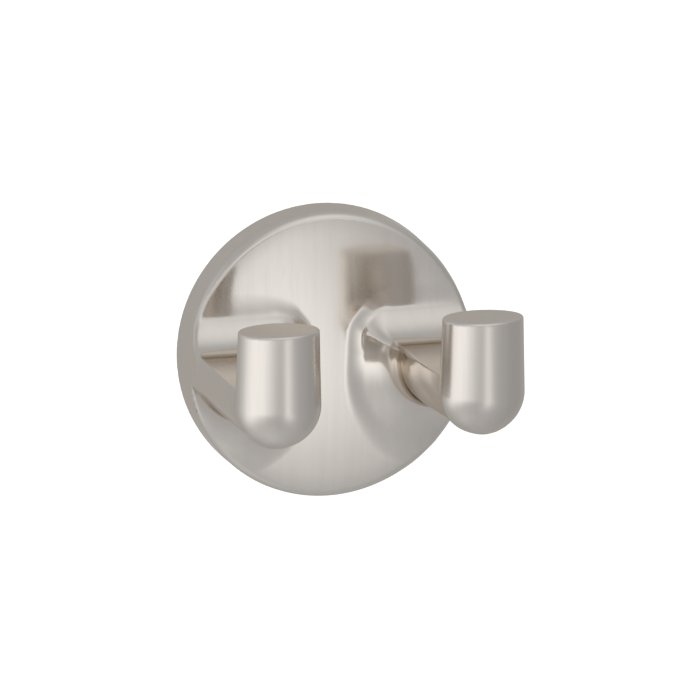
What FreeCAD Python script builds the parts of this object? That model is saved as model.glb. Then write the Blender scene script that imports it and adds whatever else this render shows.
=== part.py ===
# Double robe hook: a hollow round rosette with two flat-topped arms, each ending in an upright rounded end.
# It hangs on a round bracket screwed to the wall, and one set screw in its underside draws it tight.
# Millimetres. X to the right, +Y into the wall, +Z up. The origin is the rosette's centre on the wall.
import FreeCAD, Part
import math
import os

# Rosette
rosette_r = 32.0              # at the wall
rosette_depth = 9.4           # wall to the rim of the face
face_crown = 0.75             # how much further out the middle of the face stands
rosette_draft_deg = 1.5
rosette_edge_r = 1.5          # round at the rim of the face
side_wall = 2.2
face_wall = 2.6
cavity_corner_r = 1.0

# Arms
arm_spacing = 45.0            # between the middles of the two arms
arm_top_z = 3.4               # level of the flat top
arm_half_width = 8.65         # where it meets the upright end
arm_inner_draft_deg = 2.0     # its inner side leans out towards the wall
arm_outer_draft_deg = 0.85    # its outer side comes flush with the rim there
arm_round_z = 0.35            # the sides end and the round underside starts here
arm_under_z = -8.7            # lowest line where it meets the upright end
arm_under_draft_deg = 2.8     # it deepens towards the wall
arm_crease_r = 0.9            # round between the flat top and the sides
flare_length = 10.4           # how far the flare stands off the rim's level
flare_top = 9.2               # how far it spreads over the face, by direction
flare_side = 8.4
flare_under = 12.6
flare_fullness = 1.5          # how late the spread grows from the side's to the underside's
flare_fade_from_deg = 70.0    # the spread fades out here, going round the underside from the inner side
flare_fade_to_deg = 150.0     # and is gone here, where the arm comes up to the rim
flare_stations = 8
flare_end_deg = 58.0          # how far the flare has turned at the rim's level: it meets the face at an angle
underside_points = 13

# Upright ends
end_top_z = 17.0
end_front = 57.0              # wall to the front of the end
end_top_width = 17.6
end_top_thick = 13.0
end_width = 18.6
end_thick = 14.3
end_round_z = 0.4             # the round bottom starts here
end_round_height = 9.2
end_top_edge_r = 0.5

# Mounting bracket
bracket_r = 20.0              # at the wall
bracket_thick = 4.6
bracket_undercut = 2.0        # how much wider its front is than its back
wall_screw_spacing = 28.0
wall_screw_hole_r = 2.25
countersink_r = 4.3
bracket_gap = 0.2             # between the bracket and what hangs on it

# Hook that hangs over the bracket, and the boss for the set screw
hanger_half_angle_deg = 32.0
hanger_from_wall = 0.6
boss_r = 3.1
boss_gap = 1.2                # between the boss and the bracket
set_screw_r = 2.0
set_screw_recess = 0.4        # from the rosette's side in to its outer end
set_screw_from_wall = 3.2
set_screw_point_r = 0.9
set_screw_point_length = 1.2
hex_across_flats = 2.0
hex_depth = 2.2
thread_gap = 0.12
hanger_front = bracket_thick - bracket_gap
edge_match = 0.001            # how near to its stated place an edge is found

V = FreeCAD.Vector
X_AXIS, Y_AXIS, Z_AXIS = V(1, 0, 0), V(0, 1, 0), V(0, 0, 1)
O = V(0, 0, 0)
arm_x = arm_spacing / 2
inner_slope = math.tan(math.radians(arm_inner_draft_deg))
outer_slope = math.tan(math.radians(arm_outer_draft_deg))
under_slope = math.tan(math.radians(arm_under_draft_deg))
rosette_slope = math.tan(math.radians(rosette_draft_deg))
face_r = rosette_r - rosette_depth * rosette_slope


def turned(points):
    """Solid turned about Y from a closed outline of (radius, distance from the wall)."""
    outline = Part.makePolygon([V(r, -d, 0) for r, d in points + points[:1]])
    return Part.Face(outline).revolve(O, Y_AXIS, 360)


def ring_edges(shape, radius, depth):
    """Circular edges about Y at this radius and distance from the wall."""
    boxes = [(e, e.BoundBox) for e in shape.Edges]
    return [e for e, box in boxes if abs(box.XLength / 2 - radius) < edge_match
            and abs(box.YMin + depth) < edge_match and abs(box.YMax + depth) < edge_match]


def crowned_cup(mouth_r, end_r, depth, corner_r):
    """Solid turned about Y from the wall to a crowned end, with a round at its corner."""
    crown = face_crown * (end_r / face_r) ** 2
    crown_r = (end_r ** 2 + crown ** 2) / (2 * crown)
    mouth, corner, middle = V(mouth_r, 0, 0), V(end_r, -depth, 0), V(0, -depth - crown, 0)
    half_out = V(end_r / 2, middle.y + crown_r - math.sqrt(crown_r ** 2 - end_r ** 2 / 4), 0)
    outline = Part.Wire([Part.makeLine(O, mouth), Part.makeLine(mouth, corner),
                         Part.Arc(corner, half_out, middle).toShape(), Part.makeLine(middle, O)])
    cup = Part.Face(outline).revolve(O, Y_AXIS, 360)
    return cup.makeFillet(corner_r, ring_edges(cup, end_r, depth))


def rosette_outside():
    return crowned_cup(rosette_r, face_r, rosette_depth, rosette_edge_r)


def rosette_cavity():
    depth = rosette_depth - face_wall
    mouth_r = rosette_r - side_wall
    return crowned_cup(mouth_r, mouth_r - depth * rosette_slope, depth, cavity_corner_r)


def spread_share(turn_deg):
    """How much of the flare is left, going round the underside from the inner side."""
    share = (turn_deg - flare_fade_from_deg) / (flare_fade_to_deg - flare_fade_from_deg)
    return math.cos(math.pi / 2 * min(max(share, 0), 1)) ** 2


def arm_section(from_wall, spread):
    """Closed outline across the right arm about its own middle: flat top, straight sides, round underside."""
    back = end_middle(end_round_z) - from_wall
    outer = arm_half_width + back * outer_slope
    lean = back * (inner_slope - outer_slope)
    deep = arm_round_z - arm_under_z + back * under_slope
    top = arm_top_z + spread * flare_top
    inner = outer + lean + spread * flare_side
    inner_corner = arm_crease_r + spread * flare_top

    def at(x, z):
        return V(x, -from_wall, z)

    def underside_point(turn_deg):
        turn = math.radians(turn_deg)
        reach = flare_side + (flare_under - flare_side) * abs(math.sin(turn)) ** flare_fullness
        more = spread * reach * spread_share(turn_deg)
        wide = outer + more + lean * (1 + math.cos(turn)) / 2
        return at(-wide * math.cos(turn), arm_round_z - (deep + more) * math.sin(turn))

    def corner_arc(side, edge, corner):
        near = corner * (1 - math.sqrt(0.5))
        return Part.Arc(at(side * edge, top - corner), at(side * (edge - near), top - near),
                        at(side * (edge - corner), top)).toShape()

    underside = Part.BSplineCurve()
    steps = underside_points - 1
    underside.interpolate(Points=[underside_point(180.0 * i / steps) for i in range(underside_points)],
                          InitialTangent=-Z_AXIS, FinalTangent=Z_AXIS)
    return Part.Wire([underside.toShape(),
                      Part.makeLine(at(outer, arm_round_z), at(outer, top - arm_crease_r)),
                      corner_arc(1, outer, arm_crease_r),
                      Part.makeLine(at(outer - arm_crease_r, top), at(inner_corner - inner, top)),
                      corner_arc(-1, inner, inner_corner),
                      Part.makeLine(at(-inner, top - inner_corner), at(-inner, arm_round_z))])


def arm():
    """The right arm, from below the round of the rim to the middle of its end, flush with the rosette's side."""
    neck_from = rosette_depth + flare_length
    neck = Part.makeLoft([arm_section(neck_from, 0), arm_section(end_middle(end_round_z), 0)], True, True)
    last = math.radians(flare_end_deg)
    sections = []
    for i in range(flare_stations):
        turn = last * i / (flare_stations - 1)
        rise = flare_length * (1 - math.sin(turn) / math.sin(last))
        spread = (1 - math.cos(turn)) / (1 - math.cos(last))
        sections.append(arm_section(rosette_depth + rise, spread))
    flare = Part.makeLoft(sections, True, False)
    root = Part.makeLoft([sections[-1], arm_section(rosette_depth - rosette_edge_r, 1)], True, True)
    side = turned([(0, 0), (rosette_r, 0), (face_r, rosette_depth), (face_r, end_front), (0, end_front)])
    return neck.fuse(flare).fuse(root).translated(V(arm_x, 0, 0)).common(side)


def end_middle(z):
    """Distance from the wall to the middle of an upright end at this level."""
    share = (z - end_round_z) / (end_top_z - end_round_z)
    return end_front - (end_thick + share * (end_top_thick - end_thick)) / 2


def upright_end():
    low = Part.Ellipse(V(0, -end_middle(end_round_z), end_round_z), end_width / 2, end_thick / 2)
    high = Part.Ellipse(V(0, -end_middle(end_top_z), end_top_z), end_top_width / 2, end_top_thick / 2)
    post = Part.makeLoft([Part.Wire(low.toShape()), Part.Wire(high.toShape())], True, True)
    rim = [e for e in post.Edges if e.BoundBox.ZMin > end_top_z - edge_match]
    post = post.makeFillet(end_top_edge_r, rim)
    ball = Part.makeSphere(1.0)
    stretch = FreeCAD.Matrix(end_width / 2, 0, 0, 0,
                             0, end_thick / 2, 0, -end_middle(end_round_z),
                             0, 0, end_round_height, end_round_z, 0, 0, 0, 1)
    bottom = ball.transformGeometry(stretch)
    return post.fuse(bottom).translated(V(arm_x, 0, 0))


def hanger():
    """Curved rib inside the rosette that hangs over the bracket's upper edge, in its undercut."""
    def seat(d):
        return bracket_r + bracket_undercut * d / bracket_thick + bracket_gap
    outer = rosette_r - side_wall / 2 - hanger_front * rosette_slope
    ring = turned([(seat(hanger_from_wall), hanger_from_wall), (outer, hanger_from_wall),
                   (outer, hanger_front), (seat(hanger_front), hanger_front)])
    a = math.radians(hanger_half_angle_deg)
    far = rosette_r * 2
    wedge = Part.Face(Part.makePolygon([O, V(-far * math.sin(a), 0, far * math.cos(a)),
                                        V(far * math.sin(a), 0, far * math.cos(a)), O]))
    return ring.common(wedge.extrude(V(0, -rosette_depth, 0)))


def screw_boss():
    start = bracket_r + bracket_undercut + boss_gap
    length = rosette_r - side_wall / 2 - start
    return Part.makeCylinder(boss_r, length, V(0, -set_screw_from_wall, -start), -Z_AXIS)


def screw_bore():
    return Part.makeCylinder(set_screw_r + thread_gap, rosette_r, V(0, -set_screw_from_wall, -bracket_r), -Z_AXIS)


def hook_body():
    hook = arm().fuse(upright_end())
    outside = rosette_outside().fuse(hook).fuse(hook.mirror(O, X_AXIS))
    cup = outside.cut(rosette_cavity())
    return cup.fuse(hanger()).fuse(screw_boss()).cut(screw_bore())


def mounting_bracket():
    front_r = bracket_r + bracket_undercut
    plate = turned([(0, 0), (bracket_r, 0), (front_r, bracket_thick), (0, bracket_thick)])
    sink = countersink_r - wall_screw_hole_r
    for side in (-1, 1):
        at = V(side * wall_screw_spacing / 2, 0, 0)
        hole = Part.makeCylinder(wall_screw_hole_r, bracket_thick, at, -Y_AXIS)
        head = Part.makeCone(wall_screw_hole_r, countersink_r, sink, at - V(0, bracket_thick - sink, 0), -Y_AXIS)
        plate = plate.cut([hole, head])
    return plate


def set_screw():
    """Points up at the bracket's lower edge, with its socket at the outside."""
    edge = bracket_r + bracket_undercut * (set_screw_from_wall + set_screw_point_r) / bracket_thick
    tip = edge + bracket_gap
    outer = rosette_r - set_screw_from_wall * rosette_slope - set_screw_recess
    point = Part.makeCone(set_screw_point_r, set_screw_r, set_screw_point_length,
                          V(0, -set_screw_from_wall, -tip), -Z_AXIS)
    shank = Part.makeCylinder(set_screw_r, outer - tip - set_screw_point_length,
                              V(0, -set_screw_from_wall, -tip - set_screw_point_length), -Z_AXIS)
    corner = hex_across_flats / 2 / math.cos(math.radians(30))
    turns = [math.radians(60 * i) for i in range(7)]
    points = [V(corner * math.cos(a), corner * math.sin(a) - set_screw_from_wall, -outer) for a in turns]
    socket = Part.Face(Part.makePolygon(points)).extrude(V(0, 0, hex_depth))
    return point.fuse(shank).cut(socket).removeSplitter()


os.makedirs("parts", exist_ok=True)
for name, shape in (("hook_body", hook_body()), ("mounting_bracket", mounting_bracket()),
                    ("set_screw", set_screw())):
    print(name, "valid", shape.isValid(), "solids", len(shape.Solids), "volume", round(shape.Volume, 1))
    shape.exportStep("parts/" + name + ".step")
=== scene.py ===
import math
import bmesh
import bpy
import numpy as np
from mathutils import Matrix, Vector


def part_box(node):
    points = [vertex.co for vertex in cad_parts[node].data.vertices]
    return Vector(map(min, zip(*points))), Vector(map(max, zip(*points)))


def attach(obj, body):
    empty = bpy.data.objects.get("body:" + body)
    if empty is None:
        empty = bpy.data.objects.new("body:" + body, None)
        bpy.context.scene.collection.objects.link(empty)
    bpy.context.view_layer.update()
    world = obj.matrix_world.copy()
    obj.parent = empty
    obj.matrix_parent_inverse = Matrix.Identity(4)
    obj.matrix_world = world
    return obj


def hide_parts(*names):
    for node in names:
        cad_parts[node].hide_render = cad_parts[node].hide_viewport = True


# Double robe hook in satin nickel: the cast hook with its rosette, the bracket behind it and the set screw.
# Metres in Blender. The casting's own form is worked out in millimetres.

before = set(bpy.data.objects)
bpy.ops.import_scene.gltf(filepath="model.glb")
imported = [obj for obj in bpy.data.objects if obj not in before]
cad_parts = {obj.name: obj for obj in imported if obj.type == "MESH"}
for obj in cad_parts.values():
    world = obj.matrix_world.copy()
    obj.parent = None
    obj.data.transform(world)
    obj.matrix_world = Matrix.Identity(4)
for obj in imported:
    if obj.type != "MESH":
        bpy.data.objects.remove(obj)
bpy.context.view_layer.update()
millimetre = 0.001


# Helpers for curved forms

def roundBoth(a, b, radius):  # what lies in both forms, its edge rounded
    outer = np.hypot(np.maximum(radius + a, 0), np.maximum(radius + b, 0))
    return np.minimum(-radius, np.maximum(a, b)) + outer


def roundEither(a, b, radius):  # what lies in either form, with a fillet between them
    inner = np.hypot(np.maximum(radius - a, 0), np.maximum(radius - b, 0))
    return np.maximum(radius, np.minimum(a, b)) - inner


def easeBetween(low, high, value):
    share = np.clip((value - low) / (high - low), 0, 1)
    return share * share * (3 - 2 * share)


def slopeOf(degrees):
    return math.tan(math.radians(degrees))


# The casting, as a field: below zero inside the metal, above zero outside.
# x runs to the right, d out from the wall and z up.

rosette = {
    "wallRadius": 32.0, "depth": 9.4, "draft": 1.5, "crownAcross": 0.5, "crownUp": 1.0, "rimRound": 1.5,
    "rimEaseFrom": 25.5, "rimEaseOver": 9.0, "rimEase": 0.0016, "sideWall": 2.2, "faceWall": 2.6,
    "cavityRound": 1.0, "edgeRound": 0.4,
}
arm = {
    "middle": 22.5, "topLevel": 3.4, "halfWidth": 8.65, "roundLevel": 0.35, "underLevel": -8.7,
    "sideRise": 15.0,
    "innerDraft": 2.0, "outerDraft": 0.85, "underDraft": 2.8, "waistFrom": 23.0, "waist": 0.003,
    "intoPost": 6.0, "longest": 45.0,
    "creaseRound": 0.3, "creaseFrom": 16.0, "creaseGrowth": 0.05, "creaseFlare": 5.0, "creaseLate": 1.6,
    "flareLength": 10.0, "flareEnd": 54.0, "flareSide": 6.9, "flareUnder": 11.8, "flareOuter": 0.4,
    "fullness": 1.5, "fadeFrom": 70.0, "fadeOver": 80.0, "flareRoot": 1.1,
    "topLength": 7.8, "topEnd": 74.0, "flareTop": 8.2, "topRoot": 0.7, "topBlend": 3.0,
    "trimRound": 0.35, "trimInner": 4.0, "trimFrom": -1.8, "trimTo": 1.2,
}
post = {
    "front": 57.0, "topLevel": 17.0, "topWidth": 17.6, "topThick": 13.0, "width": 18.6, "thick": 14.3,
    "roundLevel": 0.4, "roundHeight": 9.2, "topRound": 0.5, "valleyRound": 1.6, "rootRound": 0.5,
    "valleyFrom": 1.0, "valleyTo": 3.4, "valleyAcross": 6.0, "valleyEnd": 8.6,
}
inside = {
    "seatRadius": 20.2, "undercut": 0.4348, "hangerFrom": 0.6, "hangerTo": 4.4, "hangerAngle": 32.0,
    "wallReach": 30.5, "bossRadius": 3.1, "bossFrom": 23.2, "screwLine": 3.2, "boreRadius": 2.12,
    "boreFrom": 20.0, "smallFillet": 0.45, "smallRound": 0.4,
}


def postMiddle(z):
    share = (z - post["roundLevel"]) / (post["topLevel"] - post["roundLevel"])
    return post["front"] - (post["thick"] + share * (post["topThick"] - post["thick"])) / 2


def postField(across, d, z):
    level = np.maximum(z, post["roundLevel"])
    share = (level - post["roundLevel"]) / (post["topLevel"] - post["roundLevel"])
    halfWide = (post["width"] + share * (post["topWidth"] - post["width"])) / 2
    halfThick = (post["thick"] + share * (post["topThick"] - post["thick"])) / 2
    ahead = d - postMiddle(level)
    below = np.minimum(z - post["roundLevel"], 0) / post["roundHeight"]
    reach = np.sqrt((across / halfWide) ** 2 + (ahead / halfThick) ** 2 + below ** 2) + 1e-9
    steep = np.sqrt((across / halfWide ** 2) ** 2 + (ahead / halfThick ** 2) ** 2
                    + (below / post["roundHeight"]) ** 2) + 1e-9
    return roundBoth(reach * (reach - 1) / steep, z - post["topLevel"], post["topRound"])


def ellipseField(across, up, halfWide, halfTall):
    reach = np.hypot(across / halfWide, up / halfTall) + 1e-9
    return reach * (reach - 1) / (np.hypot(across / halfWide ** 2, up / halfTall ** 2) + 1e-9)


def flareReach(across, low):  # how far the flare spreads over the face, round the underside
    turn = np.arctan2(np.minimum(low, 0), -across)
    down = np.maximum(-np.sin(turn), 0) ** arm["fullness"]
    reach = arm["flareSide"] + (arm["flareUnder"] - arm["flareSide"]) * down
    faded = (np.degrees(np.maximum(-turn, 0)) - arm["fadeFrom"]) / arm["fadeOver"]
    fade = np.cos(np.pi / 2 * np.clip(faded, 0, 1)) ** 2
    return arm["flareOuter"] + (reach - arm["flareOuter"]) * fade


def flareSpread(rise, length, endAngle):  # part of an ellipse, from 0 to 1 at the face, and its steepness
    end = math.radians(endAngle)
    nearest = 0.985 / math.sin(end)  # just short of upright
    turn = np.arcsin(np.clip(1 - rise / length, 0, nearest) * math.sin(end))
    steep = np.tan(turn) * math.sin(end) / (length * (1 - math.cos(end)))
    return (1 - np.cos(turn)) / (1 - math.cos(end)), steep


def armField(across, d, z, rise):  # with its flare and, for each point, the round at the flare's root
    back = np.clip(postMiddle(post["roundLevel"]) - d, 0, arm["longest"])
    waist = arm["waist"] * np.maximum(arm["waistFrom"] - back, 0) ** 2
    inner = arm["halfWidth"] + back * slopeOf(arm["innerDraft"]) - waist
    outer = arm["halfWidth"] + back * slopeOf(arm["outerDraft"])
    deep = arm["roundLevel"] - arm["underLevel"] + back * slopeOf(arm["underDraft"])
    low = z - arm["roundLevel"]
    tall = np.where(low < 0, deep, arm["sideRise"])
    spread, steep = flareSpread(rise, arm["flareLength"], arm["flareEnd"])
    reach = flareReach(across, low)
    body = ellipseField(across - (outer - inner) / 2, low, (inner + outer) / 2, tall) - reach * spread
    bodySteep = reach * steep
    spread, steep = flareSpread(rise, arm["topLength"], arm["topEnd"])
    top = z - arm["topLevel"] - arm["flareTop"] * spread
    crease = arm["creaseRound"] + arm["creaseGrowth"] * np.maximum(back - arm["creaseFrom"], 0)
    crease += arm["creaseFlare"] * spread ** arm["creaseLate"]
    atTop = easeBetween(-arm["topBlend"], arm["topBlend"], top - body)
    steep = bodySteep + (arm["flareTop"] * steep - bodySteep) * atTop
    root = arm["flareRoot"] + (arm["topRoot"] - arm["flareRoot"]) * atTop
    shaft = roundBoth(body, top, crease) / np.sqrt(1 + steep ** 2)
    return np.maximum(shaft, d - post["front"] + arm["intoPost"]), root


def castingField(points):
    x, d, z = points[:, 0], -points[:, 1], points[:, 2]
    radius = np.hypot(x, z)
    across = np.abs(x) - arm["middle"]
    draft = slopeOf(rosette["draft"])
    side = radius - (rosette["wallRadius"] - np.minimum(d, rosette["depth"]) * draft)
    ease = np.clip(radius - rosette["rimEaseFrom"], 0, rosette["rimEaseOver"])
    bow = (rosette["crownAcross"] * x ** 2 + rosette["crownUp"] * z ** 2) / rosette["wallRadius"] ** 2
    crown = (rosette["crownAcross"] + rosette["crownUp"]) / 2 - bow
    face = d - rosette["depth"] - crown + rosette["rimEase"] / 3 * ease ** 3
    shaft, root = armField(across, d, z, face)
    flared = roundEither(shaft, face, root)
    beside = armField(np.minimum(across, arm["halfWidth"] - arm["trimInner"]), d, z, face)[0]
    flush = easeBetween(arm["trimFrom"], arm["trimTo"], beside)  # zero where the arm meets the rosette's side
    trim = arm["trimRound"] + (rosette["rimRound"] - arm["trimRound"]) * flush
    cast = roundBoth(flared, side, trim)
    atTop = easeBetween(post["valleyFrom"], post["valleyTo"], z)
    atTop = atTop * (1 - easeBetween(post["valleyAcross"], post["valleyEnd"], np.abs(across)))
    valley = post["rootRound"] + (post["valleyRound"] - post["rootRound"]) * atTop
    cast = roundEither(cast, postField(across, d, z), valley)
    cast = roundBoth(cast, -d, rosette["edgeRound"])
    depth = rosette["depth"] - rosette["faceWall"]
    wall = radius - (rosette["wallRadius"] - rosette["sideWall"] - d * draft)
    cavity = roundBoth(wall, d - depth - crown, rosette["cavityRound"])
    cup = roundBoth(cast, -cavity, rosette["edgeRound"])
    seat = inside["seatRadius"] + inside["undercut"] * d
    angle = math.radians(inside["hangerAngle"])
    wedge = np.abs(x) * math.cos(angle) - z * math.sin(angle)
    slab = roundBoth(inside["hangerFrom"] - d, seat - radius, inside["smallRound"])
    slab = roundBoth(slab, d - inside["hangerTo"], inside["smallRound"])
    slab = roundBoth(slab, wedge, inside["smallRound"])
    cup = roundEither(cup, np.maximum(slab, radius - inside["wallReach"]), inside["smallFillet"])
    aside = np.hypot(x, d - inside["screwLine"])
    boss = roundBoth(aside - inside["bossRadius"], z + inside["bossFrom"], inside["smallRound"])
    cup = roundEither(cup, np.maximum(boss, -inside["wallReach"] - z), inside["smallFillet"])
    bore = np.maximum(aside - inside["boreRadius"], z + inside["boreFrom"])
    return roundBoth(cup, -bore, rosette["edgeRound"])


def fieldSlope(field, points, step=0.004):
    slope = np.empty_like(points)
    for axis in range(3):
        shift = np.zeros(3)
        shift[axis] = step
        slope[:, axis] = (field(points + shift) - field(points - shift)) / (2 * step)
    return slope


# The casting

castMesh = {"voxel": 0.455, "passes": 8, "longestStep": 0.35, "leastSlope": 0.05}


def newObject(name, data):
    made = bpy.data.objects.new(name, data)
    bpy.context.scene.collection.objects.link(made)
    return made


def appliedMesh(made):  # the mesh with its modifiers worked in
    bpy.context.view_layer.update()
    shaped = made.evaluated_get(bpy.context.evaluated_depsgraph_get())
    mesh = bpy.data.meshes.new_from_object(shaped)
    old = made.data
    made.modifiers.clear()
    made.data = mesh
    bpy.data.meshes.remove(old)
    return mesh


def buildCasting():
    shell = bmesh.new()
    shell.from_mesh(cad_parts["hook_body"].data)
    bmesh.ops.remove_doubles(shell, verts=shell.verts, dist=1e-6)
    mesh = bpy.data.meshes.new("castHook")
    shell.to_mesh(mesh)
    shell.free()
    casting = newObject("cast_hook", mesh)
    even = casting.modifiers.new("even", "REMESH")
    even.mode = "VOXEL"
    even.voxel_size = castMesh["voxel"] * millimetre
    mesh = appliedMesh(casting)
    points = np.empty(len(mesh.vertices) * 3)
    mesh.vertices.foreach_get("co", points)
    points = points.reshape(-1, 3) / millimetre
    for sweep in range(castMesh["passes"]):  # draws each vertex on to the true form
        slope = fieldSlope(castingField, points)
        square = np.maximum((slope ** 2).sum(1), castMesh["leastSlope"])
        move = slope * (castingField(points) / square)[:, None]
        length = np.linalg.norm(move, axis=1, keepdims=True)
        points -= move * np.minimum(1, castMesh["longestStep"] / np.maximum(length, 1e-9))
    points[:, 1] = np.minimum(points[:, 1], 0)
    mesh.vertices.foreach_set("co", (points * millimetre).ravel())
    mesh.shade_smooth()
    normals = fieldSlope(castingField, points)
    normals /= np.maximum(np.linalg.norm(normals, axis=1, keepdims=True), 1e-9)
    mesh.normals_split_custom_set_from_vertices([tuple(n) for n in normals])
    print("casting:", len(mesh.vertices), "vertices,", len(mesh.polygons), "faces")
    return casting


# Small turned parts

sharpAngle = 35  # degrees


def outlined(outline):  # an open outline of (radius, height) points beside Z
    shape = bmesh.new()
    rim = [shape.verts.new((radius * millimetre, 0, height * millimetre)) for radius, height in outline]
    edges = [shape.edges.new(pair) for pair in zip(rim, rim[1:])]
    return shape, rim + edges


def turned(outline, steps):  # a closed solid turned about Z
    shape, profile = outlined(outline)
    bmesh.ops.spin(shape, geom=profile, cent=(0, 0, 0), axis=(0, 0, 1), angle=math.tau, steps=steps,
                   use_merge=True)
    bmesh.ops.remove_doubles(shape, verts=shape.verts, dist=1e-7)
    bmesh.ops.recalc_face_normals(shape, faces=shape.faces)
    return shape


def finishedMesh(name, shape):
    mesh = bpy.data.meshes.new(name)
    shape.to_mesh(mesh)
    shape.free()
    return mesh


def carved(piece, tool, operation):  # works the tool into the piece and throws the tool away
    cut = piece.modifiers.new("carve", "BOOLEAN")
    cut.operation = operation
    cut.solver = "EXACT"
    cut.object = tool
    appliedMesh(piece)
    old = tool.data
    bpy.data.objects.remove(tool)
    bpy.data.meshes.remove(old)


def laidOut(piece, place):  # small parts are made upright at the origin, then put where the frame has them
    shape = bmesh.new()
    shape.from_mesh(piece.data)
    bmesh.ops.remove_doubles(shape, verts=shape.verts, dist=1e-7)
    bmesh.ops.transform(shape, verts=shape.verts, matrix=place)
    bmesh.ops.triangulate(shape, faces=[f for f in shape.faces if len(f.verts) > 4])
    bmesh.ops.recalc_face_normals(shape, faces=shape.faces)
    shape.to_mesh(piece.data)
    shape.free()
    piece.data.shade_smooth()
    piece.data.set_sharp_from_angle(angle=math.radians(sharpAngle))


# The mounting bracket

bracket = {
    "undercut": 2.0, "edgeBreak": 0.25, "edgeSteps": 3, "holeSpacing": 28.0, "holeRadius": 2.25,
    "sinkRadius": 4.3, "holeBreak": 0.15, "beyond": 1.0, "rimAngle": 30, "steps": 128, "holeSteps": 64,
}


def buildBracket():
    low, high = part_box("mounting_bracket")
    frontRadius, thick = (high[0] - low[0]) / 2 / millimetre, (high[1] - low[1]) / millimetre
    wallRadius = frontRadius - bracket["undercut"]
    outline = [(0, thick), (frontRadius, thick), (wallRadius, 0), (0, 0)]
    shape = turned(outline, bracket["steps"])
    rims = [e for e in shape.edges if e.calc_face_angle(0) > math.radians(bracket["rimAngle"])]
    bmesh.ops.bevel(shape, geom=rims, offset=bracket["edgeBreak"] * millimetre, offset_type="OFFSET",
                    affect="EDGES", segments=bracket["edgeSteps"], profile=0.5, material=-1)
    plate = newObject("wall_bracket", finishedMesh("wallBracket", shape))
    hole, sink, broken, over = (bracket[key] for key in ("holeRadius", "sinkRadius", "holeBreak", "beyond"))
    outline = [(0, thick + over), (sink + over, thick + over), (hole, thick - (sink - hole)), (hole, broken),
               (hole + broken + over, -over), (0, -over)]
    for side in (-1, 1):
        tool = newObject("hole", finishedMesh("hole", turned(outline, bracket["holeSteps"])))
        tool.data.transform(Matrix.Translation((side * bracket["holeSpacing"] / 2 * millimetre, 0, 0)))
        carved(plate, tool, "DIFFERENCE")
    laidOut(plate, Matrix.Rotation(math.radians(90), 4, "X"))
    print("bracket:", len(plate.data.polygons), "faces")
    return plate


# The set screw

setScrew = {
    "radius": 2.0, "pitch": 0.7, "threadDepth": 0.4, "pointRadius": 0.9, "pointLength": 1.2, "endBreak": 0.35,
    "acrossFlats": 2.0, "socketDepth": 2.2, "steps": 64,
    "profile": ((0.0, 0), (0.125, 0), (0.46, 1), (0.665, 1)),  # shares of the pitch and of the depth
}


def threadedRod(length):  # its outline is shifted one pitch by a full turn, so the thread is a true helix
    pitch, steps = setScrew["pitch"], setScrew["steps"]
    outline = [(setScrew["radius"] - depth * setScrew["threadDepth"], (turn + share - 1) * pitch)
               for turn in range(math.ceil(length / pitch) + 2) for share, depth in setScrew["profile"]]
    shape, profile = outlined(outline)
    bmesh.ops.spin(shape, geom=profile, cent=(0, 0, 0), axis=(0, 0, 1), angle=math.tau, steps=steps,
                   dvec=(0, 0, pitch * millimetre / steps))
    bmesh.ops.remove_doubles(shape, verts=shape.verts, dist=1e-7)
    for height, outward in ((0.0, -1), (length, 1)):
        cut = bmesh.ops.bisect_plane(shape, geom=shape.verts[:] + shape.edges[:] + shape.faces[:], dist=1e-8,
                                     plane_co=(0, 0, height * millimetre), plane_no=(0, 0, outward),
                                     clear_outer=True)
        rim = [e for e in cut["geom_cut"] if isinstance(e, bmesh.types.BMEdge)]
        bmesh.ops.contextual_create(shape, geom=rim)
    bmesh.ops.recalc_face_normals(shape, faces=shape.faces)
    return finishedMesh("threadedRod", shape)


def buildSetScrew():
    low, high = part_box("set_screw")
    length = (high[2] - low[2]) / millimetre
    radius, broken = setScrew["radius"], setScrew["endBreak"]
    screw = newObject("grub_screw", threadedRod(length))
    outline = [(0, length), (setScrew["pointRadius"], length), (radius, length - setScrew["pointLength"]),
               (radius, broken), (radius - broken, 0), (0, 0)]
    carved(screw, newObject("ends", finishedMesh("ends", turned(outline, setScrew["steps"]))), "INTERSECT")
    corner = setScrew["acrossFlats"] / 2 / math.cos(math.radians(30))
    shape = bmesh.new()
    bmesh.ops.create_cone(shape, cap_ends=True, segments=6, radius1=corner * millimetre,
                          radius2=corner * millimetre, depth=2 * setScrew["socketDepth"] * millimetre)
    carved(screw, newObject("socket", finishedMesh("socket", shape)), "DIFFERENCE")
    place = Matrix.Translation(((low[0] + high[0]) / 2, (low[1] + high[1]) / 2, low[2]))
    laidOut(screw, place)
    print("set screw:", len(screw.data.polygons), "faces")
    return screw


# Finishes

def socketed(name, inputs, outputs):  # an empty shader node group with named inputs and outputs
    group = bpy.data.node_groups.new(name, "ShaderNodeTree")
    for label, kind, value in inputs:
        made = group.interface.new_socket(label, in_out="INPUT", socket_type=kind)
        if value is not None:
            made.default_value = value
    for label, kind in outputs:
        group.interface.new_socket(label, in_out="OUTPUT", socket_type=kind)
    return group, group.nodes.new("NodeGroupInput"), group.nodes.new("NodeGroupOutput")


def mathNode(nodes, operation, *values, links=None):
    made = nodes.new("ShaderNodeMath")
    made.operation = operation
    for place, value in enumerate(values):
        if isinstance(value, (int, float)):
            made.inputs[place].default_value = value
        elif value is not None:
            links.new(value, made.inputs[place])
    return made.outputs[0]


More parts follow.
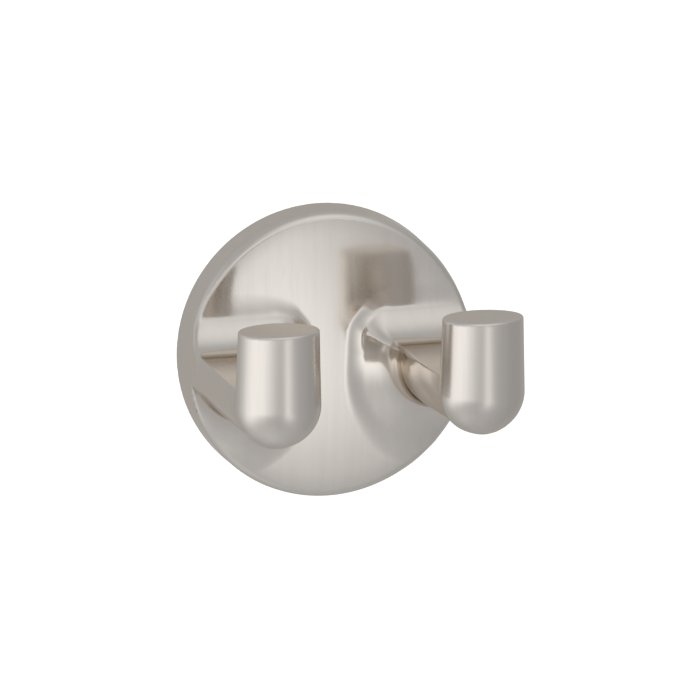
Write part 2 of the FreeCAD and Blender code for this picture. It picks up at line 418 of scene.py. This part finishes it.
def streaksGroup():  # fine upright streaks from a brushing belt
    group, given, result = socketed("streaks", [
        ("Across", "NodeSocketFloat", 1000.0), ("Along", "NodeSocketFloat", 50.0),
        ("Detail", "NodeSocketFloat", 3.0)], [("Value", "NodeSocketFloat")])
    nodes, links = group.nodes, group.links
    place = nodes.new("ShaderNodeTexCoord")
    scale = nodes.new("ShaderNodeCombineXYZ")
    for axis, label in (("X", "Across"), ("Y", "Across"), ("Z", "Along")):
        links.new(given.outputs[label], scale.inputs[axis])
    mapping = nodes.new("ShaderNodeMapping")
    links.new(place.outputs["Object"], mapping.inputs["Vector"])
    links.new(scale.outputs["Vector"], mapping.inputs["Scale"])
    noise = nodes.new("ShaderNodeTexNoise")
    noise.inputs["Scale"].default_value = 1.0
    noise.inputs["Roughness"].default_value = 0.6
    links.new(given.outputs["Detail"], noise.inputs["Detail"])
    links.new(mapping.outputs["Vector"], noise.inputs["Vector"])
    links.new(noise.outputs["Fac"], result.inputs["Value"])
    return group


def newMaterial(name):
    material = bpy.data.materials.new(name)
    material.use_nodes = True
    nodes, links = material.node_tree.nodes, material.node_tree.links
    return material, nodes, links, nodes["Principled BSDF"]


def placed(nodes, group, **values):
    made = nodes.new("ShaderNodeGroup")
    made.node_tree = group
    for label, value in values.items():
        made.inputs[label].default_value = value
    return made


def mapRange(nodes, links, value, low, high, fromLow=0.3, fromHigh=0.7):
    made = nodes.new("ShaderNodeMapRange")
    links.new(value, made.inputs["Value"])
    made.inputs["From Min"].default_value = fromLow
    made.inputs["From Max"].default_value = fromHigh
    made.inputs["To Min"].default_value = low
    made.inputs["To Max"].default_value = high
    return made.outputs["Result"]


def unevenMetal(nodes, links, shader, look, broad, fine):  # sets tone and relief, gives back the roughness
    shader.inputs["Metallic"].default_value = 1.0
    mix = nodes.new("ShaderNodeMix")
    mix.data_type = "RGBA"
    mix.inputs["A"].default_value = (*look["shade"], 1)
    mix.inputs["B"].default_value = (*look["color"], 1)
    links.new(mapRange(nodes, links, broad, 0, 1), mix.inputs["Factor"])
    links.new(mix.outputs["Result"], shader.inputs["Base Color"])
    bump = nodes.new("ShaderNodeBump")
    bump.inputs["Strength"].default_value = look["bump"]
    bump.inputs["Distance"].default_value = 0.0001
    links.new(fine, bump.inputs["Height"])
    links.new(bump.outputs["Normal"], shader.inputs["Normal"])
    return mapRange(nodes, links, fine, look["roughLow"], look["roughHigh"])


nickel = {
    "color": (0.78, 0.737, 0.69), "shade": (0.75, 0.707, 0.66), "edge": (0.87, 0.83, 0.78),
    "roughLow": 0.09, "roughHigh": 0.14, "bump": 0.01,
    "fine": {"Across": 5200.0, "Along": 90.0, "Detail": 3.0},
    "broad": {"Across": 520.0, "Along": 12.0, "Detail": 5.0},
    "postFrom": 0.038, "postTo": 0.046, "postRough": 0.13,  # the upright ends are brushed more coarsely
}


def satinNickel(streaks):
    material, nodes, links, shader = newMaterial("satinNickel")
    shader.inputs["Specular Tint"].default_value = (*nickel["edge"], 1)  # nickel stays warm at grazing angles
    broad = placed(nodes, streaks, **nickel["broad"]).outputs["Value"]
    fine = placed(nodes, streaks, **nickel["fine"]).outputs["Value"]
    rough = unevenMetal(nodes, links, shader, nickel, broad, fine)
    place = nodes.new("ShaderNodeTexCoord")
    split = nodes.new("ShaderNodeSeparateXYZ")
    links.new(place.outputs["Object"], split.inputs["Vector"])
    coarser = mapRange(nodes, links, split.outputs["Y"], 0, nickel["postRough"],
                       -nickel["postFrom"], -nickel["postTo"])
    links.new(mathNode(nodes, "ADD", rough, coarser, links=links), shader.inputs["Roughness"])
    return material


def grainGroup():  # uneven tone of a plain cast or turned surface
    group, given, result = socketed("grain", [("Scale", "NodeSocketFloat", 1000.0)], [
        ("Fine", "NodeSocketFloat"), ("Broad", "NodeSocketFloat")])
    nodes, links = group.nodes, group.links
    place = nodes.new("ShaderNodeTexCoord")
    for label, share, detail in (("Fine", 1.0, 4.0), ("Broad", 0.12, 3.0)):
        noise = nodes.new("ShaderNodeTexNoise")
        noise.inputs["Detail"].default_value = detail
        scale = mathNode(nodes, "MULTIPLY", given.outputs["Scale"], share, links=links)
        links.new(scale, noise.inputs["Scale"])
        links.new(place.outputs["Object"], noise.inputs["Vector"])
        links.new(noise.outputs["Fac"], result.inputs[label])
    return group


zinc = {
    "color": (0.60, 0.60, 0.58), "shade": (0.47, 0.47, 0.46), "roughLow": 0.30, "roughHigh": 0.48,
    "grain": 900.0, "bump": 0.12,
}
plainSteel = {
    "color": (0.36, 0.355, 0.35), "shade": (0.24, 0.24, 0.245), "roughLow": 0.24, "roughHigh": 0.38,
    "grain": 2600.0, "bump": 0.08,
}


def grainedMetal(name, look, grain):
    material, nodes, links, shader = newMaterial(name)
    uneven = placed(nodes, grain, Scale=look["grain"])
    rough = unevenMetal(nodes, links, shader, look, uneven.outputs["Broad"], uneven.outputs["Fine"])
    links.new(rough, shader.inputs["Roughness"])
    return material


# Studio

camera = {  # from 15.5 degrees to the left and 14 degrees above
    "right": (0.9636, -0.2673, 0.0), "up": (0.0648, 0.2337, 0.9701), "distance": 2.0,
    "pixelsPerMetre": 4592.0, "frameWidth": 700, "sensorWidth": 36.0, "aimRight": 0.00687, "aimUp": -0.00096,
}


def buildCamera():
    right = Vector(camera["right"]).normalized()
    up = Vector(camera["up"])
    up = (up - right * up.dot(right)).normalized()
    back = right.cross(up)
    aim = right * camera["aimRight"] + up * camera["aimUp"]
    data = bpy.data.cameras.new("studioCamera")
    data.sensor_width = camera["sensorWidth"]
    data.lens = camera["pixelsPerMetre"] * camera["distance"] / camera["frameWidth"] * data.sensor_width
    made = newObject("studioCamera", data)
    turn = Matrix((right, up, back)).transposed().to_4x4()
    made.matrix_world = Matrix.Translation(aim + back * camera["distance"]) @ turn
    bpy.context.scene.camera = made


tent = {
    "radius": 0.35, "ahead": 0.025, "level": 0.49,
    "boxes": (  # azimuth and elevation, width and height in degrees, strength
        (-60, -12, 28, 14, 0.64),  # the big window on the left, its lower part and its spill
        (-78, -27, 18, 12, 0.22),
        (-95, -5, 26, 40, 0.19),
        (-35, 15, 26, 20, 0.21),
        (-45, -50, 26, 30, 0.15),
        (-28, -9, 22, 7, 0.50),  # a low strip between the window and the camera
        (-8, 22, 12, 9, 0.22),  # a small light over the camera
        (12, -11, 6, 12, 0.57),  # the narrow light that the face mirrors
        (14, -24, 10, 10, 0.15),
        (20, -18, 7, 8, 0.18),
        (16, -42, 12, 14, 0.04),
        (16, 14, 8, 7, 0.22),
        (15, 48, 26, 34, 0.37),  # overhead
        (75, -5, 32, 50, -0.10)),  # a dark card on the right
}


def softBoxGroup():  # one soft box, brightest at its middle
    group, given, result = socketed("softBox", [
        ("Place", "NodeSocketVector", None), ("Toward", "NodeSocketVector", None),
        ("Across", "NodeSocketVector", None), ("Upward", "NodeSocketVector", None),
        ("Wide", "NodeSocketFloat", 0.1), ("Tall", "NodeSocketFloat", 0.1),
        ("Strength", "NodeSocketFloat", 1.0)], [("Light", "NodeSocketFloat")])
    nodes, links = group.nodes, group.links

    def along(label):
        dot = nodes.new("ShaderNodeVectorMath")
        dot.operation = "DOT_PRODUCT"
        links.new(given.outputs["Place"], dot.inputs[0])
        links.new(given.outputs[label], dot.inputs[1])
        return dot.outputs["Value"]

    ahead = mathNode(nodes, "MAXIMUM", along("Toward"), 0.02, links=links)
    total = 0.0
    for label, size in (("Across", "Wide"), ("Upward", "Tall")):
        share = mathNode(nodes, "DIVIDE", along(label), ahead, links=links)
        share = mathNode(nodes, "DIVIDE", share, given.outputs[size], links=links)
        square = mathNode(nodes, "MULTIPLY", share, share, links=links)
        total = mathNode(nodes, "ADD", square, total, links=links)
    glow = mathNode(nodes, "EXPONENT", mathNode(nodes, "MULTIPLY", total, -1.0, links=links), links=links)
    light = mathNode(nodes, "MULTIPLY", glow, given.outputs["Strength"], links=links)
    links.new(light, result.inputs["Light"])
    return group


def studioLightGroup(softBox):  # the light that comes from each direction
    group, _, result = socketed("studioLight", [], [("Light", "NodeSocketFloat")])
    nodes, links = group.nodes, group.links
    place = nodes.new("ShaderNodeTexCoord")
    fromMiddle = nodes.new("ShaderNodeVectorMath")
    fromMiddle.operation = "SUBTRACT"
    fromMiddle.inputs[1].default_value = (0, -tent["ahead"], 0)
    links.new(place.outputs["Object"], fromMiddle.inputs[0])
    toward = nodes.new("ShaderNodeVectorMath")
    toward.operation = "NORMALIZE"
    links.new(fromMiddle.outputs["Vector"], toward.inputs[0])
    total = tent["level"]
    for azimuth, elevation, wide, tall, strength in tent["boxes"]:
        a, e = math.radians(azimuth), math.radians(elevation)
        box = placed(nodes, softBox, Wide=slopeOf(wide), Tall=slopeOf(tall), Strength=strength)
        facing = Vector((math.sin(a) * math.cos(e), -math.cos(a) * math.cos(e), math.sin(e)))
        level = Vector((math.cos(a), math.sin(a), 0))
        box.inputs["Toward"].default_value = facing
        box.inputs["Across"].default_value = level
        box.inputs["Upward"].default_value = level.cross(facing)
        links.new(toward.outputs["Vector"], box.inputs["Place"])
        total = mathNode(nodes, "ADD", total, box.outputs["Light"], links=links)
    links.new(total, result.inputs["Light"])
    return group


def buildTent(studioLight):
    shape = bmesh.new()
    bmesh.ops.create_icosphere(shape, subdivisions=5, radius=tent["radius"])
    bmesh.ops.translate(shape, verts=shape.verts, vec=(0, -tent["ahead"], 0))
    mesh = bpy.data.meshes.new("lightTent")
    shape.to_mesh(mesh)
    shape.free()
    made = newObject("light_tent", mesh)
    material = bpy.data.materials.new("tentLight")
    material.use_nodes = True
    nodes, links = material.node_tree.nodes, material.node_tree.links
    nodes.clear()
    light = placed(nodes, studioLight)
    glow = nodes.new("ShaderNodeEmission")
    links.new(light.outputs["Light"], glow.inputs["Strength"])
    output = nodes.new("ShaderNodeOutputMaterial")
    links.new(glow.outputs[0], output.inputs["Surface"])
    material.cycles.emission_sampling = "NONE"
    mesh.materials.append(material)
    made.visible_camera = False
    made.visible_shadow = False


floorPlace = {"level": -0.1, "reach": 3.0, "color": (0.9, 0.9, 0.9, 1), "white": 1.2, "shown": 0.85}


def buildFloor(studioLight):
    shape = bmesh.new()
    bmesh.ops.create_grid(shape, x_segments=1, y_segments=1, size=floorPlace["reach"])
    bmesh.ops.translate(shape, verts=shape.verts, vec=(0, 0, floorPlace["level"]))
    mesh = bpy.data.meshes.new("paleFloor")
    shape.to_mesh(mesh)
    shape.free()
    made = newObject("pale_floor", mesh)
    material, nodes, links, shader = newMaterial("paleFloor")
    shader.inputs["Base Color"].default_value = floorPlace["color"]
    shader.inputs["Roughness"].default_value = 0.9
    path = nodes.new("ShaderNodeLightPath")
    white = nodes.new("ShaderNodeEmission")
    white.inputs["Strength"].default_value = floorPlace["white"]
    pale = nodes.new("ShaderNodeEmission")
    links.new(placed(nodes, studioLight).outputs["Light"], pale.inputs["Strength"])
    seen = nodes.new("ShaderNodeMixShader")
    links.new(mathNode(nodes, "MULTIPLY", path.outputs["Is Camera Ray"], floorPlace["shown"], links=links),
              seen.inputs["Fac"])
    links.new(shader.outputs[0], seen.inputs[1])
    links.new(white.outputs[0], seen.inputs[2])
    gloss = nodes.new("ShaderNodeMixShader")
    links.new(path.outputs["Is Glossy Ray"], gloss.inputs["Fac"])
    links.new(seen.outputs[0], gloss.inputs[1])
    links.new(pale.outputs[0], gloss.inputs[2])
    clear = nodes.new("ShaderNodeBsdfTransparent")
    under = nodes.new("ShaderNodeMixShader")
    facing = nodes.new("ShaderNodeNewGeometry")
    links.new(facing.outputs["Backfacing"], under.inputs["Fac"])
    links.new(gloss.outputs[0], under.inputs[1])
    links.new(clear.outputs[0], under.inputs[2])
    links.new(under.outputs[0], nodes["Material Output"].inputs["Surface"])
    mesh.materials.append(material)


def buildWorld():
    world = bpy.data.worlds.new("studio")
    world.use_nodes = True
    bpy.context.scene.world = world
    nodes, links = world.node_tree.nodes, world.node_tree.links
    ground = nodes["Background"]
    ground.inputs["Color"].default_value = (1, 1, 1, 1)
    ground.inputs["Strength"].default_value = 1.0


# Putting it together

def dressed(piece, material, node):
    piece.data.materials.clear()
    piece.data.materials.append(material)
    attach(piece, "root")
    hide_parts(node)
    print(node, "done")


grain = grainGroup()
dressed(buildCasting(), satinNickel(streaksGroup()), "hook_body")
dressed(buildBracket(), grainedMetal("dullZinc", zinc, grain), "mounting_bracket")
dressed(buildSetScrew(), grainedMetal("plainSteel", plainSteel, grain), "set_screw")

buildCamera()
studioLight = studioLightGroup(softBoxGroup())
buildTent(studioLight)
buildFloor(studioLight)
buildWorld()
bpy.context.scene.view_settings.view_transform = "Standard"
print("studio done")
